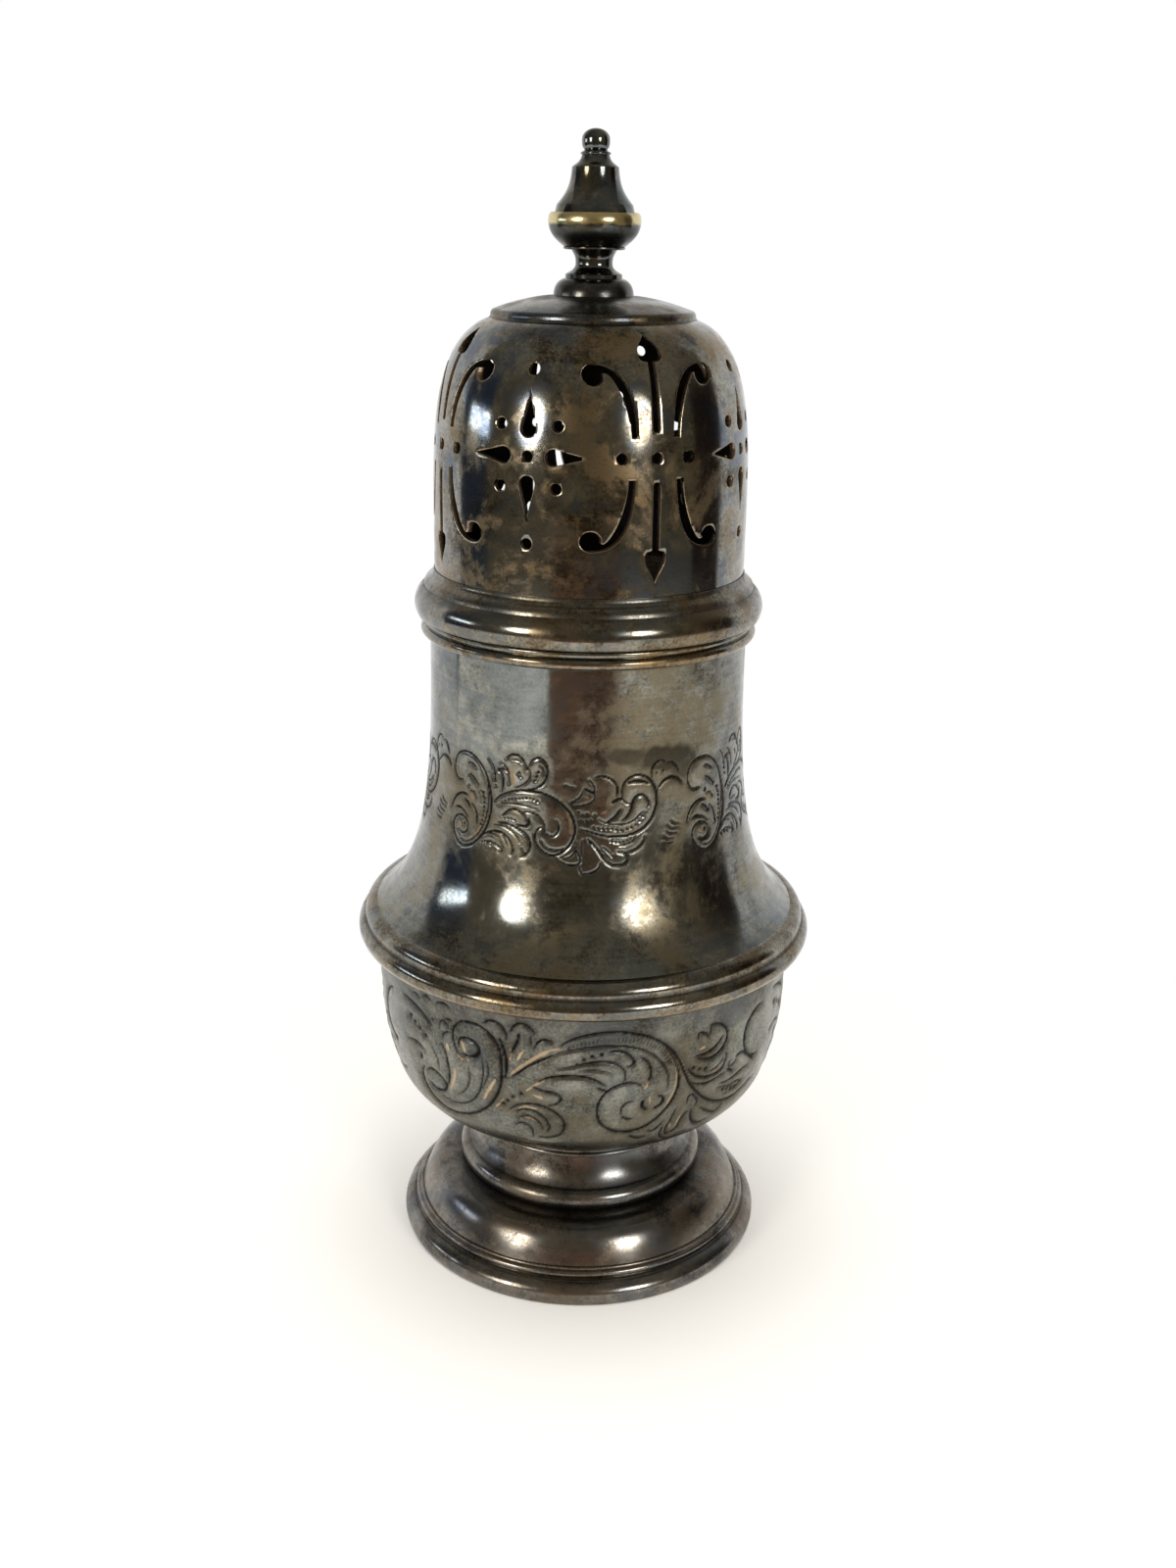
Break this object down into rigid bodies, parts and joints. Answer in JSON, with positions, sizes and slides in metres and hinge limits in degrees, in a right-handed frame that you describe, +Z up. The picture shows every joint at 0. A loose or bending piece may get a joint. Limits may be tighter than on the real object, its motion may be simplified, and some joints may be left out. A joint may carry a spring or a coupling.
{
  "type": "sugar caster",
  "caption": "Baluster sugar caster with a spread foot, girdled bowl, waisted neck and lift-off pierced dome cover under a turned finial.",
  "frame": {"origin": "on the table, under the caster's axis, at the middle of the foot ring's underside", "axes": "+Z up the axis to the finial; the side seen in the picture faces -Y"},
  "size_m": [0.0732, 0.0732, 0.1749],
  "materials": {
    "tarnished_plate": "gloss",
    "chased_plate": "satin",
    "dome_plate": "gloss",
    "foot_plate": "gloss",
    "worn_plate": "gloss",
    "blackened_plate": "gloss",
    "inner_metal": "satin"
  },
  "bodies": {
    "body": {"foot_ring": "foot_plate", "foot": "foot_plate", "stem_wire": "foot_plate", "lower_bowl": "chased_plate", "girdle_moulding": "worn_plate", "neck": "tarnished_plate", "mouth_wire": "worn_plate"},
    "bezel": {"cover_bezel": "inner_metal"},
    "cover": {"cover_moulding": "worn_plate", "pierced_dome": "dome_plate", "crown_plate": "dome_plate", "finial": "blackened_plate", "finial_stud": "inner_metal", "finial_washer": "inner_metal", "finial_nut": "inner_metal"}
  },
  "joints": [
    {"name": "cover_lift", "type": "slide", "parent": "body", "child": "bezel", "axis": [0, 0, 1], "range_m": [0, 0.09]},
    {"name": "cover_turn", "type": "hinge", "parent": "bezel", "child": "cover", "pos_m": [0, 0, 0.1057], "axis": [0, 0, 1], "continuous": true}
  ]
}
